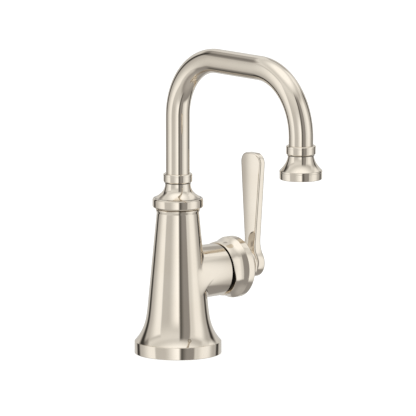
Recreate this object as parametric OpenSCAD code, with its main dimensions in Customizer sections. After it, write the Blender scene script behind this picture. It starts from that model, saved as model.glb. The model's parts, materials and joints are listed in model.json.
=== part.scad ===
// High arc bathroom faucet with a side lever, for one 35 mm hole in a sink or worktop.
// Frame: origin at the centre of the base, on the deck. +Z up, -Y along the spout, +X along the handle.
// The cartridge, its discs and its stem lie along +X, on the handle's axis.

/* [Base and body] */
// Diameter of the base ring
base_d = 59.7; // [56:0.1:66]
// Height of the base ring's upright side
base_h = 8.3; // [6:0.1:10]
// Height at which the flare has run out into the cone
flare_h = 36; // [30:1:42]
// Diameter of the body where the flare ends
flare_d = 41; // [40:0.5:44]
// Diameter at the narrow top of the cone
neck_d = 29.1; // [28.5:0.1:32]
// Height of the body, from the deck to the swivel seam
body_h = 100.3; // [98:0.1:110]
// Thickness of the cast wall
body_wall = 2.4; // [1.8:0.1:2.6]
// How sharply the flare turns out at its foot
flare_power = 3.45; // [2.5:0.05:4.5]

/* [Spout] */
// Outer diameter of the spout's tube
tube_d = 16.4; // [15.5:0.1:17]
// Wall of the spout's tube
tube_wall = 1.2; // [0.8:0.1:1.4]
// Radius of both bends, at the tube's centre line
bend_r = 42; // [36:1:50]
// Reach, from the body's axis to the outlet's axis
reach = 128; // [110:1:150]
// Height of the straight run's centre line
arch_z = 206.4; // [200:0.1:240]
// Diameter of the swivelling collar
collar_d = 34.8; // [33:0.1:37]
// Height of the collar's upright side
collar_h = 5.6; // [4:0.1:7]
// Height of the collar's bell, from the collar's top to the bead
bonnet_h = 9.6; // [8:0.1:12]
// Diameter of the two beads on the tube
bead_d = 19.8; // [19:0.1:21]
// Height of each bead
bead_h = 6.2; // [4:0.1:7]
// Height of the outlet's mouth above the deck
outlet_z = 136.3; // [130:0.1:150]
// Diameter of the outlet's ring
outlet_d = 28.5; // [27:0.1:31]
// Height of the outlet's ring
outlet_ring_h = 5; // [4:0.1:7]
// Height of the outlet's bell, above its ring
outlet_bell_h = 10.7; // [9:0.1:13]

/* [Handle] */
// Height of the handle's axis above the deck
handle_z = 54; // [52:0.5:58]
// Diameter of the side stub
stub_d = 36.3; // [35.5:0.1:38]
// Distance from the body's axis to the stub's end
stub_x = 33.6; // [33:0.1:38]
// Slit between the stub and the hub
slit = 0.8; // [0.5:0.1:1.2]
// Depth of the clearance cut under the hub, which lets the lever tilt
relief = 3; // [2.8:0.1:3.6]
// Diameter of the hub's flange
flange_d = 41.9; // [40:0.1:45]
// Width of the hub's flange
flange_w = 5.2; // [4:0.1:7]
// Distance from the stub's end to the flange
flange_x = 12.7; // [12.4:0.1:15]
// Diameter of the hub's dome
dome_d = 38.8; // [38:0.1:39.4]
// Upward lean of the dome towards the body, in degrees
dome_lean = 3.5; // [0:0.5:4]
// Distance from the flange to the bead behind the lever
hub_neck_h = 9.6; // [8:0.1:14]
// Diameter of the bead behind the lever
lever_bead_d = 21; // [20:0.1:24]
// Thickness of the lever
lever_t = 5.1; // [4:0.1:6.5]
// Radius of the lever's round foot
lever_foot_r = 10.1; // [9.5:0.1:11.5]
// Height of the foot's centre above the handle's axis
lever_foot_z = 1.5; // [0:0.1:2]
// Width of the lever at its waist
waist_w = 11.2; // [9:0.1:13]
// Height of the waist above the handle's axis
waist_z = 20; // [18:0.5:24]
// Width of the lever near its top
lever_w = 19.9; // [16:0.1:24]
// Height of the lever's tip above the handle's axis
lever_h = 78.2; // [70:0.1:95]
// Radius of the lever's upper corners
lever_corner_r = 7; // [4:0.1:8]
// Largest outward tilt of the lever, in degrees
tilt_max = 11; // [8:1:11]

/* [Cartridge] */
// Outer diameter of the cartridge's barrel in the stub
barrel_d = 31.6; // [31:0.1:31.8]
// Bore of the barrel
barrel_bore = 27; // [26.6:0.1:27.4]
// Thickness of the barrel's floor
floor_t = 3; // [2.5:0.1:4]
// Thickness of the port seal under the cartridge
seal_t = 1.1; // [0.8:0.1:1.4]
// Thickness of the cartridge's foot
foot_t = 4.15; // [3:0.05:4.5]
// Thickness of each ceramic disc
disc_t = 2.98; // [2.5:0.02:3.2]
// Diameter of the moving disc
disc_d = 15.2; // [14:0.1:15.4]
// Thickness of the disc's carrier
carrier_t = 4; // [3.5:0.1:4.5]
// Radius of the circle on which the three ports lie
port_circle_r = 7; // [6.5:0.1:7.4]
// Diameter of each port
port_d = 4.8; // [4:0.1:5]
// Diameter of the rotor's neck
neck_rotor_d = 16; // [15.6:0.1:16.4]
// Diameter of the stem
stem_d = 6; // [5:0.1:6.2]
// Diameter of the pin on which the stem tilts
pin_d = 2.5; // [2:0.1:3]

/* [Waterway] */
// Diameter of the manifold's lower column
manifold_d = 27.6; // [27:0.1:28]
// Diameter of the manifold's upper column
riser_d = 23.6; // [23:0.1:23.8]
// Bore in which the spout's spigot turns
swivel_bore = 17; // [16.6:0.1:17.4]
// Wall of the spigot
spigot_wall = 2.6; // [2.2:0.1:2.8]
// Radius of the manifold's foot
manifold_foot_r = 19.7; // [19.4:0.1:19.8]
// Thread diameter of the two inlets
inlet_d = 10; // [9:0.5:10]
// Distance between the inlets' axes
inlet_gap = 12.4; // [11.6:0.1:12.8]
// Depth of each inlet
inlet_depth = 11; // [9:0.5:13]

/* [Below the deck] */
// Thickness of the deck in the assembled state
deck_t = 30; // [10:1:40]
// Diameter of the shank where it passes through the deck
shank_d = 31.75; // [31:0.05:33]
// Diameter of the shank's threaded part
thread_d = 31; // [30:0.1:31.2]
// Bore of the shank
shank_bore = 26.6; // [26:0.1:27.4]
// Length of the shank's threaded part below the deck
thread_l = 22; // [20:1:40]
// Outer diameter of the washers under the deck
washer_d = 50; // [44:1:56]
// Thickness of the rubber washer
rubber_t = 3; // [2:0.1:4]
// Thickness of the metal washer
metal_t = 1.6; // [1.2:0.1:2]
// Height of the mounting nut
nut_h = 11; // [9:0.5:13]
// Width of the nut across its flats
nut_af = 41; // [38:0.5:44]

/* [Aerator] */
// Thread diameter of the aerator
aerator_d = 21.5; // [20:0.1:22]
// Height of the aerator's housing
aerator_h = 6; // [5:0.1:6.2]

/* [Clearances] */
// Gap at seats and screwed or glued seams
seat = 0.05; // [0.02:0.01:0.1]
// Radial clearance of turning and sliding fits
run = 0.05; // [0.02:0.01:0.1]
// Gap round parts that swing inside others
swing_gap = 0.4; // [0.3:0.05:0.6]

/* [Hidden] */
$fn = 96;

POLISHED = [0.84, 0.80, 0.73];
BRASS = [0.78, 0.66, 0.38];
RUBBER = [0.13, 0.13, 0.14];
PLASTIC = [0.90, 0.89, 0.85];
CERAMIC = [0.96, 0.96, 0.94];
STEEL = [0.70, 0.70, 0.72];

// Body outline
neck_z = body_h - 2.8;
cone_slope = (flare_d - neck_d) / 2 / (neck_z - flare_h);
flare_foot = base_d / 2 - 0.3 - cone_r(base_h + 0.3);
base_plate_t = 9;
gasket_t = 2.8;
gasket_in_r = base_d / 2 - 6.2;
gasket_out_r = base_d / 2 - 2.6;
plate_z = gasket_t + 0.4;
plate_top = plate_z + base_plate_t;
plate_r = 22;
cavity_z = plate_top;

// Side stub and handle, measured along X
barrel_x = stub_x - 5;
bonnet_x = barrel_x + 0.2;
pivot_x = stub_x + 3.4;
bonnet_r = (stub_d - 3.5) / 2;
bonnet_end = pivot_x + 6;
hub_cavity_r = bonnet_r + swing_gap;
hub_floor = pivot_x + 9.5;
hub_back = stub_x + slit;
flange_a = stub_x + flange_x;
flange_b = flange_a + flange_w;
hub_end = flange_b + hub_neck_h;
lever_bead_w = 2;
lever_back = hub_end + lever_bead_w + 2.2;
lever_front = lever_back + lever_t;
boss_r = lever_bead_d / 2 - 0.9;
boss_back = hub_end + lever_bead_w + seat;
spigot_hub_r = 6;
spigot_hub_end = boss_back + 1.4;

// Cartridge stack along X
seal_x = floor_t + seat;
foot_x = seal_x + seal_t + seat;
fixed_x = foot_x + foot_t + seat;
moving_x = fixed_x + disc_t + 0.04;
carrier_x = moving_x + disc_t + seat;
rotor_x = carrier_x + carrier_t + 0.15;
cap_x = barrel_x - 3.6;
rotor_flange_t = cap_x - 2.1 - rotor_x;
housing_r = barrel_bore / 2 - 0.1;
chamber_r = housing_r - 1.4;
ball_r = 3.2;
ball_x = carrier_x + carrier_t - 0.4;
stem_arm = pivot_x - ball_x;
stem_end = hub_floor + 8;
lift = stem_arm * sin(tilt_max);
slot_half = stem_d / 2 + 0.3;
rotor_end = pivot_x + 4;
rib_w = 1.6;
rib_y = 5.5;
rib_h = 1;
set_screw_x = flange_a + flange_w / 2;
set_screw_r = 2;

// Spout
collar_z = body_h + 0.4;
collar_top = collar_z + collar_h + 2;
bonnet_top = collar_top + bonnet_h;
bead_z = bonnet_top + 0.5;
tube_r = tube_d / 2;
tube_in_r = tube_r - tube_wall;
tube_foot = collar_z + 3.4;
outlet_ring_top = outlet_z + outlet_ring_h + 0.4;
bell_top = outlet_ring_top + outlet_bell_h;
tube_end = bell_top - 5;
outlet_bead_z = bell_top + 0.3;
run_y = reach - 2 * bend_r;
manifold_z = plate_top + seat;
manifold_top = body_h - 2.3;
riser_z = handle_z + barrel_d / 2 + 4.2;
clip_t = 1.3;

// The gland and the swivel's bore share the room between the cartridge's barrel and the manifold's top
full_room = 28.2;
room_share = (manifold_top - handle_z - barrel_d / 2) / full_room;
gland_z = manifold_top - 7.8 * room_share;
clip_z = gland_z - clip_t - 0.25;
swivel_z = clip_z - 12.6 * room_share;
spigot_r = swivel_bore / 2 - run;
spigot_in_r = spigot_r - spigot_wall;
spigot_z = swivel_z + 1;
spigot_top = tube_foot + 9;
gland_bore = swivel_bore + 3.6;
ring_depth = 1.15;
ring_h = 2.1;
ring_zs = [spigot_z + 1.5 * room_share, spigot_z + 6 * room_share];
passage_r = 2.4;

// Below the deck
shank_top = plate_z + 6;
plate_screw_c = thread_d / 2 + 2.45;
plate_screw_r = 1.25;
plate_head_r = 2.1;
shank_end = -deck_t - thread_l;
stack_z = -deck_t - seat;
washer_bore = thread_d + 1.2;

function cone_r(z) = flare_d / 2 + (flare_h - z) * cone_slope;
function flare_r(z) = cone_r(z)
    + (z < flare_h ? flare_foot * pow((flare_h - z) / (flare_h - base_h - 0.3), flare_power) : 0);
function port_at(i) = [port_circle_r * sin(120 * i), port_circle_r * cos(120 * i)];

// Turns a profile of [radius, height] points about Z.
module turned(points) {
    rotate_extrude() polygon(points);
}

// Turns a profile of [distance, radius] points about the handle's axis.
module turned_x(points) {
    along_x() rotate_extrude() polygon([for (p = points) [p[1], p[0]]]);
}

// Puts a shape that stands on Z onto the handle's axis, with its Z along +X.
module along_x(x = 0) {
    translate([x, 0, handle_z]) rotate([0, 90, 0]) children();
}

module rod_x(x0, x1, r) {
    along_x(x0) cylinder(r = r, h = x1 - x0);
}

module ring_x(x0, x1, r_out, r_in) {
    along_x(x0) ring(0, x1 - x0, r_out, r_in);
}

module ring(z0, z1, r_out, r_in) {
    translate([0, 0, z0]) difference() {
        cylinder(r = r_out, h = z1 - z0);
        translate([0, 0, -1]) cylinder(r = r_in, h = z1 - z0 + 2);
    }
}

// A drilled passage from one point to another.
module drilled(a, b, r) {
    v = b - a;
    l = norm(v);
    translate(a) rotate([0, acos(v[2] / l), atan2(v[1], v[0])]) cylinder(r = r, h = l);
}

// The three ports, drilled along X between two distances.
module ports(x0, x1, r) {
    for (i = [0:2]) translate([0, port_at(i)[0], port_at(i)[1]]) rod_x(x0, x1, r);
}

module body_shell() {
    color(POLISHED) difference() {
        union() {
            turned(concat(
                [[0, 0], [base_d / 2 - 0.4, 0], [base_d / 2, 0.4], [base_d / 2, base_h - 0.2],
                 [base_d / 2 - 0.3, base_h + 0.3]],
                [for (i = [1:24]) let (z = base_h + 0.3 + (flare_h - base_h - 0.3) * (1 - pow(1 - i / 24, 1.5)))
                    [flare_r(z), z]],
                [[neck_d / 2, neck_z], [neck_d / 2 + 0.5, body_h - 1.1], [neck_d / 2 + 0.6, body_h - 0.5],
                 [neck_d / 2 + 0.3, body_h], [0, body_h]]
            ));
            rod_x(0, stub_x, stub_d / 2);
        }
        turned([[0, cavity_z - 1], [cone_r(cavity_z) - body_wall, cavity_z - 1], [cone_r(neck_z) - body_wall, neck_z],
            [cone_r(neck_z) - body_wall, body_h + 1], [0, body_h + 1]]);
        translate([0, 0, -1]) cylinder(r = plate_r, h = plate_top + 1);
        ring(-1, gasket_t + seat, gasket_out_r + seat, plate_r - 1);
        rod_x(0, stub_x + 1, barrel_d / 2 + seat);
    }
}

// Brass plate screwed into the base from below. It carries the manifold and the shank.
module base_plate() {
    color(BRASS) difference() {
        translate([0, 0, plate_z]) cylinder(r = plate_r - seat, h = base_plate_t);
        translate([0, 0, -1]) cylinder(r = thread_d / 2 + seat, h = shank_top + 1 + seat);
        cylinder(r = shank_bore / 2, h = plate_top + 1);
        plate_screw_set(plate_screw_r + seat, plate_head_r + seat, plate_z - seat, plate_top + 1);
    }
}

// Three countersunk screws, from the plate's underside up to a given height.
module plate_screw_set(r, head_r, z0, z1) {
    for (a = [30, 150, 270]) rotate(a) translate([plate_screw_c, 0, z0]) {
        cylinder(r = r, h = z1 - z0);
        cylinder(r1 = head_r, r2 = r, h = 1.3);
    }
}

module plate_screws() {
    color(STEEL) difference() {
        plate_screw_set(plate_screw_r, plate_head_r, plate_z, plate_top + 3.6);
        for (a = [30, 150, 270]) rotate(a) translate([plate_screw_c, 0, plate_z - 1]) cylinder(r = 0.8, h = 1.9, $fn = 6);
    }
}

module base_gasket() {
    color(RUBBER) ring(0, gasket_t, gasket_out_r, gasket_in_r);
}

module mounting_shank() {
    color(BRASS) difference() {
        union() {
            translate([0, 0, -deck_t]) cylinder(r = shank_d / 2, h = deck_t);
            translate([0, 0, shank_end]) cylinder(r = thread_d / 2, h = shank_top - shank_end);
        }
        translate([0, 0, shank_end - 1]) cylinder(r = shank_bore / 2, h = shank_top - shank_end + 2);
    }
}

module waterway_manifold() {
    back = -6.5;
    turn_z = manifold_z + inlet_depth + 9;
    color(BRASS) difference() {
        union() {
            translate([0, 0, manifold_z]) cylinder(r = manifold_foot_r, h = 4.5);
            translate([0, 0, manifold_z]) cylinder(r = manifold_d / 2, h = riser_z - manifold_z);
            translate([0, 0, riser_z - 1]) cylinder(r = riser_d / 2, h = manifold_top - riser_z + 1);
        }
        rod_x(-seat, stub_x, barrel_d / 2 + 2 * seat);
        for (s = [-1, 1]) {
            translate([s * inlet_gap / 2, 0, manifold_z - 1]) cylinder(r = inlet_d / 2, h = inlet_depth + 1);
            drilled([s * inlet_gap / 2, 0, manifold_z + inlet_depth - 1], [back, s * port_at(1)[0], turn_z], passage_r - 0.1);
            translate([back, s * port_at(1)[0], turn_z - 3]) cylinder(r = passage_r, h = handle_z + port_at(1)[1] - turn_z + 5);
            translate([0, s * port_at(1)[0], port_at(1)[1]]) rod_x(back, 1, passage_r);
        }
        translate([0, 0, port_at(0)[1]]) rod_x(back, 1, passage_r);
        translate([-4, 0, handle_z + port_at(0)[1]]) cylinder(r = 3.2, h = swivel_z - handle_z - port_at(0)[1] + 1);
        rod_x(back - 1.5, 1, 2);
        for (a = [30, 150, 270]) rotate(a) translate([plate_screw_c, 0, manifold_z - 1])
            cylinder(r = plate_screw_r + seat, h = 4.8);
        translate([0, 0, swivel_z]) cylinder(r = swivel_bore / 2, h = body_h);
        translate([0, 0, clip_z - 0.3]) cylinder(r = gland_bore / 2, h = body_h);
    }
}

// Three small rings round the ports, between the manifold and the barrel.
module inlet_seal() {
    color(RUBBER) for (i = [0:2]) translate([0, port_at(i)[0], port_at(i)[1]])
        ring_x(0, 1, 3.4, passage_r);
}

module cartridge_barrel() {
    color(BRASS) difference() {
        rod_x(seat, barrel_x, barrel_d / 2);
        rod_x(floor_t, barrel_x + 1, barrel_bore / 2);
        ports(-1, floor_t + 1, passage_r);
        ports(-1, 1 + seat, 3.4 + seat);
        rod_x(-1, floor_t + 1, 2 + seat);
        along_x(floor_t - 2) cylinder(r1 = 2 + seat, r2 = 4 + seat, h = 2.1);
    }
}

// Countersunk screw that holds the barrel to the manifold.
module barrel_screw() {
    color(STEEL) difference() {
        union() {
            rod_x(-7.5, floor_t - 1.9, 2 - seat / 2);
            along_x(floor_t - 1.95) cylinder(r1 = 2 - seat / 2, r2 = 3.9, h = 1.9);
        }
        along_x(floor_t - 1.2) cylinder(r = 1.4, h = 2, $fn = 6);
    }
}

module port_seal() {
    color(RUBBER) difference() {
        rod_x(seal_x, seal_x + seal_t, housing_r - 0.6);
        ports(0, foot_x, port_d / 2);
    }
}

module cartridge_foot() {
    color(PLASTIC) difference() {
        rod_x(foot_x, foot_x + foot_t, housing_r);
        ports(foot_x - 1, fixed_x + 1, port_d / 2);
    }
}

module fixed_ceramic_disc() {
    color(CERAMIC) difference() {
        rod_x(fixed_x, fixed_x + disc_t, chamber_r - seat);
        ports(fixed_x - 1, moving_x + 1, port_d / 2 - 0.2);
    }
}

module cartridge_housing() {
    color(PLASTIC) difference() {
        rod_x(fixed_x, cap_x, housing_r);
        rod_x(fixed_x - 1, cap_x - 2, chamber_r);
        rod_x(fixed_x, cap_x + 1, neck_rotor_d / 2 + run);
    }
}

module cartridge_nut() {
    color(BRASS) difference() {
        ring_x(cap_x + seat, barrel_x - 0.1, barrel_bore / 2 - seat, neck_rotor_d / 2 + 1.5);
        for (a = [0:90:270]) along_x(barrel_x - 1.6) rotate(a) translate([neck_rotor_d / 2, -1.5, 0]) cube([3.6, 3, 3]);
    }
}

// Round cap screwed into the stub. The hub's cavity swings over it.
module stub_bonnet() {
    color(POLISHED) difference() {
        union() {
            rod_x(bonnet_x, stub_x + 0.2, barrel_d / 2);
            intersection() {
                along_x(pivot_x) sphere(r = bonnet_r);
                rod_x(stub_x + seat, bonnet_end, stub_d);
            }
        }
        rod_x(bonnet_x - 1, stub_x + 0.2, barrel_bore / 2 + 0.5);
        intersection() {
            along_x(pivot_x) sphere(r = bonnet_r - 1.2);
            rod_x(stub_x - 0.2, bonnet_end + 1, stub_d);
        }
    }
}

module spout_gland() {
    color(BRASS) difference() {
        union() {
            translate([0, 0, gland_z]) cylinder(r = gland_bore / 2 - seat, h = manifold_top - gland_z + seat);
            translate([0, 0, manifold_top + seat]) cylinder(r = riser_d / 2, h = 1.5);
        }
        cylinder(r = swivel_bore / 2, h = collar_top);
    }
}

module swivel_washer() {
    color(RUBBER) ring(body_h + 0.02, collar_z - 0.02, neck_d / 2 - 0.4, riser_d / 2 + 0.4);
}

// Collar and bell that turn with the spout.
module spout_bonnet() {
    foot_r = collar_d / 2 - 1.6;
    color(POLISHED) difference() {
        turned(concat(
            [[0, collar_z], [foot_r, collar_z], [collar_d / 2 - 0.5, collar_z + 0.6], [collar_d / 2, collar_z + 1.2],
             [collar_d / 2, collar_z + collar_h + 1], [collar_d / 2 - 0.5, collar_top - 0.4],
             [collar_d / 2 - 1.2, collar_top]],
            bell_points(collar_d / 2 - 1.4, tube_r + 0.6, collar_top, bonnet_top, 2.6),
            [[0, bonnet_top]]
        ));
        translate([0, 0, collar_z - 1]) cylinder(r = spigot_r + 0.1, h = tube_foot - collar_z + 1);
        translate([0, 0, tube_foot - seat]) cylinder(r = tube_r + seat, h = bonnet_top);
    }
}

// Points of a bell that narrows upwards from r0 at z0 to r1 at z1.
function bell_points(r0, r1, z0, z1, power) =
    [for (i = [0:14]) let (t = 1 - pow(1 - i / 14, 1.3)) [r1 + (r0 - r1) * pow(1 - t, power), z0 + (z1 - z0) * t]];

// A bead with a raised lip at its top, round the tube.
module bead(z) {
    r = bead_d / 2;
    difference() {
        turned([[0, z], [r - 0.7, z], [r, z + 0.8], [r, z + bead_h - 1.6], [r + 0.2, z + bead_h - 1.4],
            [r + 0.2, z + bead_h - 0.6], [r - 0.4, z + bead_h], [0, z + bead_h]]);
        translate([0, 0, z - 1]) cylinder(r = tube_r + seat, h = bead_h + 2);
    }
}

module spout_bead() {
    color(POLISHED) bead(bead_z);
}

module outlet_bead() {
    color(POLISHED) translate([0, -reach, 0]) bead(outlet_bead_z);
}

// One solid bend or run of the arch, of the given radius.
module arch(r) {
    translate([0, 0, tube_foot]) cylinder(r = r, h = arch_z - bend_r - tube_foot);
    translate([0, -bend_r, arch_z - bend_r]) rotate([90, 0, 90]) rotate_extrude(angle = 90) translate([bend_r, 0]) circle(r = r);
    translate([0, -bend_r, arch_z]) rotate([90, 0, 0]) cylinder(r = r, h = run_y);
    translate([0, bend_r - reach, arch_z - bend_r]) rotate([90, 0, 90]) rotate([0, 0, 90])
        rotate_extrude(angle = 90) translate([bend_r, 0]) circle(r = r);
    translate([0, -reach, tube_end]) cylinder(r = r, h = arch_z - bend_r - tube_end);
}

module spout_tube() {
    color(POLISHED) difference() {
        arch(tube_r);
        arch(tube_in_r);
        translate([0, 0, tube_foot - 1]) cylinder(r = tube_in_r, h = 2);
        translate([0, -reach, tube_end - 1]) cylinder(r = tube_in_r, h = 2);
    }
}

module spout_spigot() {
    color(BRASS) difference() {
        union() {
            translate([0, 0, spigot_z]) cylinder(r = spigot_r, h = tube_foot - seat - spigot_z);
            translate([0, 0, tube_foot - 1]) cylinder(r = tube_in_r - seat, h = spigot_top - tube_foot + 1);
        }
        translate([0, 0, spigot_z - 1]) cylinder(r = spigot_in_r, h = body_h);
        for (z = ring_zs) ring(z, z + ring_h, spigot_r + 1, spigot_r - ring_depth);
        ring(clip_z - seat, clip_z + clip_t + seat, spigot_r + 1, spigot_r - 0.8);
    }
}

module spigot_o_rings() {
    color(RUBBER) for (z = ring_zs)
        ring(z + 0.1, z + ring_h - 0.1, swivel_bore / 2 - 0.02, spigot_r - ring_depth + 0.02);
}

module retaining_clip() {
    color(STEEL) difference() {
        ring(clip_z, clip_z + clip_t, spigot_r + 1.3, spigot_r - 0.75);
        translate([0, -2.5, clip_z - 1]) cube([swivel_bore, 5, clip_t + 2]);
    }
}

module outlet_bell() {
    r = outlet_d / 2;
    color(POLISHED) translate([0, -reach, 0]) difference() {
        turned(concat(
            [[0, outlet_z], [r - 0.6, outlet_z], [r, outlet_z + 0.5], [r, outlet_z + outlet_ring_h - 0.7],
             [r + 0.3, outlet_z + outlet_ring_h - 0.4], [r + 0.2, outlet_z + outlet_ring_h],
             [r - 0.1, outlet_ring_top]],
            bell_points(r - 0.2, tube_r + 0.5, outlet_ring_top, bell_top, 1.9),
            [[0, bell_top]]
        ));
        translate([0, 0, outlet_z - 1]) cylinder(r = aerator_d / 2 + seat, h = aerator_h + 3.1);
        translate([0, 0, outlet_z]) cylinder(r = tube_in_r, h = bell_top - outlet_z);
        translate([0, 0, tube_end - seat]) cylinder(r = tube_r + seat, h = bell_top);
    }
}

module aerator_housing() {
    z = outlet_z + 0.5;
    r = aerator_d / 2;
    color(POLISHED) translate([0, -reach, 0]) difference() {
        translate([0, 0, z]) cylinder(r = r, h = aerator_h);
        translate([0, 0, z + 1]) cylinder(r = r - 1.6, h = aerator_h);
        translate([0, 0, z - 1]) cylinder(r = r - 2.6, h = 3);
        for (a = [45:90:315]) rotate(a) translate([r - 2, -1.25, z - 1]) cube([3, 2.5, 2]);
    }
}

// Honeycomb insert that lets the water out in a straight stream.
module flow_straightener() {
    z = outlet_z + 1.55;
    pitch = 3;
    color(PLASTIC) translate([0, -reach, 0]) difference() {
        translate([0, 0, z]) cylinder(r = aerator_d / 2 - 1.65, h = 2.4);
        for (q = [-2:2]) for (s = [max(-2, -2 - q):min(2, 2 - q)])
            translate([pitch * (q + s / 2), pitch * s * sqrt(3) / 2, z - 1]) cylinder(r = 1.2, h = 5, $fn = 24);
    }
}

module flow_regulator() {
    z = outlet_z + 4;
    color(PLASTIC) translate([0, -reach, 0]) difference() {
        translate([0, 0, z]) cylinder(r = aerator_d / 2 - 1.65, h = aerator_h - 3.55);
        for (a = [0:45:315]) rotate(a) translate([6, 0, z - 1]) cylinder(r = 1, h = aerator_h, $fn = 24);
        translate([0, 0, z + 1.2]) cylinder(r = 3.4, h = aerator_h);
    }
}

module aerator_washer() {
    z = outlet_z + aerator_h + 0.55;
    color(RUBBER) translate([0, -reach, 0]) ring(z, outlet_z + aerator_h + 2.05, aerator_d / 2 - seat, tube_in_r);
}

// Turns in the housing with the handle. Its fork carries the pivot pin.
module temperature_rotor() {
    r = neck_rotor_d / 2;
    color(PLASTIC) difference() {
        union() {
            rod_x(rotor_x, rotor_x + rotor_flange_t, chamber_r - run);
            rod_x(rotor_x, rotor_end, r);
            for (s = [-1, 1]) translate([0, s * rib_y, 0]) rib(rotor_x - rib_h, rotor_x + 0.1, rib_w);
        }
        slot_block(rotor_x - 2, rotor_x + rotor_flange_t, -slot_half, lift + ball_r + 0.4);
        slot_block(rotor_x, pivot_x - 3, -slot_half, 6.2);
        slot_block(pivot_x - 3.1, rotor_end + 1, -r, r);
        translate([pivot_x, 0, handle_z]) rotate([90, 0, 0]) cylinder(r = pin_d / 2 + 0.02, h = 3 * r, center = true);
    }
}

// Upright rib or groove across the cartridge's axis.
module rib(x0, x1, w) {
    translate([x0, -w / 2, handle_z - disc_d / 2 + 2]) cube([x1 - x0, w, disc_d - 4]);
}

module slot_block(x0, x1, z0, z1) {
    translate([x0, -slot_half, handle_z + z0]) cube([x1 - x0, 2 * slot_half, z1 - z0]);
}

module pivot_pin() {
    l = 2 * sqrt(pow(neck_rotor_d / 2, 2) - pow(pin_d / 2, 2)) - 0.2;
    color(STEEL) translate([pivot_x, 0, handle_z]) rotate([90, 0, 0]) cylinder(r = pin_d / 2, h = l, center = true);
}

module disc_carrier() {
    color(PLASTIC) difference() {
        rod_x(carrier_x, carrier_x + carrier_t, disc_d / 2);
        rod_x(ball_x - ball_r - 0.1, rotor_x, ball_r + swing_gap);
        for (s = [-1, 1]) translate([carrier_x + carrier_t - rib_h - 0.1, s * rib_y - rib_w / 2 - 0.2, handle_z - disc_d])
            cube([rib_h + 1, rib_w + 0.4, 2 * disc_d]);
    }
}

module moving_ceramic_disc() {
    color(CERAMIC) difference() {
        rod_x(moving_x, moving_x + disc_t, disc_d / 2);
        rod_x(moving_x - 1, moving_x + 1.4, 3);
    }
}

module cartridge_stem() {
    color(STEEL) difference() {
        union() {
            rod_x(ball_x, stem_end, stem_d / 2);
            along_x(ball_x) sphere(r = ball_r, $fn = 48);
        }
        translate([pivot_x, 0, handle_z]) rotate([90, 0, 0]) cylinder(r = pin_d / 2 + 0.03, h = 3 * stem_d, center = true);
        translate([set_screw_x - 1.5 * set_screw_r, -stem_d, handle_z - stem_d / 2 - 1]) cube([3 * set_screw_r, 2 * stem_d, 1.4]);
    }
}

// Points of the hub's outline, as [distance, radius], from the flange outwards.
function hub_neck_points() = let (a = flange_b + 0.8, b = hub_end - 2.6, r0 = flange_d / 2 - 0.9, r1 = boss_r - 0.4)
    [for (i = [0:12]) let (t = i / 12) [a + (b - a) * t, r1 + (r0 - r1) * pow(1 - t, 2.6)]];

module handle_hub() {
    r = flange_d / 2;
    d = dome_d / 2;
    color(POLISHED) difference() {
        union() {
            // Dome, leaning up towards the body
            translate([flange_a, 0, handle_z]) rotate([0, dome_lean, 0]) translate([-flange_a, 0, -handle_z])
                turned_x([[hub_back - 2, 0], [hub_back - 2, d - 1.9], [hub_back + 0.8, d - 0.9], [hub_back + 2.4, d - 0.3],
                    [hub_back + 4.6, d], [hub_back + 6.6, d - 0.1], [flange_a - 2.8, d - 0.3], [flange_a + 1, d - 0.5],
                    [flange_a + 1, 0]]);
            turned_x(concat(
                [[flange_a - 3.2, 0], [flange_a - 3.2, d - 0.6], [flange_a - 1.6, d], [flange_a - 0.4, r - 0.8],
                 [flange_a, r - 0.2], [flange_a + 0.4, r], [flange_b - 0.3, r], [flange_b, r - 0.3],
                 [flange_b + 0.4, r - 0.6]],
                hub_neck_points(),
                [[hub_end, boss_r - 0.4], [hub_end, spigot_hub_r], [spigot_hub_end, spigot_hub_r], [spigot_hub_end, 0]]
            ));
        }
        hub_relief();
        intersection() {
            along_x(pivot_x) sphere(r = hub_cavity_r);
            rod_x(stub_x - 3, hub_floor, stub_d);
        }
        rod_x(hub_floor - 1, stem_end + 0.2, stem_d / 2 + seat);
        rod_x(stem_end + 1.5, spigot_hub_end + 1, 2.5);
        translate([set_screw_x, 0, handle_z - flange_d]) cylinder(r = set_screw_r + seat, h = flange_d);
    }
    color(POLISHED) difference() {
        rod_x(hub_floor - 2.9, hub_floor + 0.1, stem_d / 2 + 3.4);
        rod_x(hub_floor - 5, hub_floor + 1, stem_d / 2 + seat);
    }
}

// Cuts the hub's back square to the stub, and deeper on its lower half.
module hub_relief() {
    w = flange_d * 2;
    translate([0, w / 2, handle_z]) rotate([90, 0, 0]) linear_extrude(w) polygon([
        [stub_x - 8, flange_d], [hub_back, flange_d], [hub_back, 8], [hub_back + 0.3, 4], [hub_back + 0.3 * relief, 0],
        [hub_back + 0.8 * relief, -4], [hub_back + relief, -7], [hub_back + relief, -flange_d], [stub_x - 8, -flange_d]
    ]);
}

module hub_set_screw() {
    color(STEEL) translate([set_screw_x, 0, handle_z - stem_d / 2 + 0.35 - 6]) difference() {
        cylinder(r = set_screw_r, h = 6);
        translate([0, 0, -1]) cylinder(r = 1.1, h = 3, $fn = 6);
    }
}

module lever_bead() {
    r = lever_bead_d / 2;
    color(POLISHED) difference() {
        turned_x([[hub_end + seat, 0], [hub_end + seat, r - 0.5], [hub_end + 0.5, r], [hub_end + lever_bead_w - 0.5, r],
            [hub_end + lever_bead_w, r - 0.5], [hub_end + lever_bead_w, 0]]);
        rod_x(hub_end - 1, hub_end + lever_bead_w + 1, spigot_hub_r + seat);
    }
}

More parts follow.
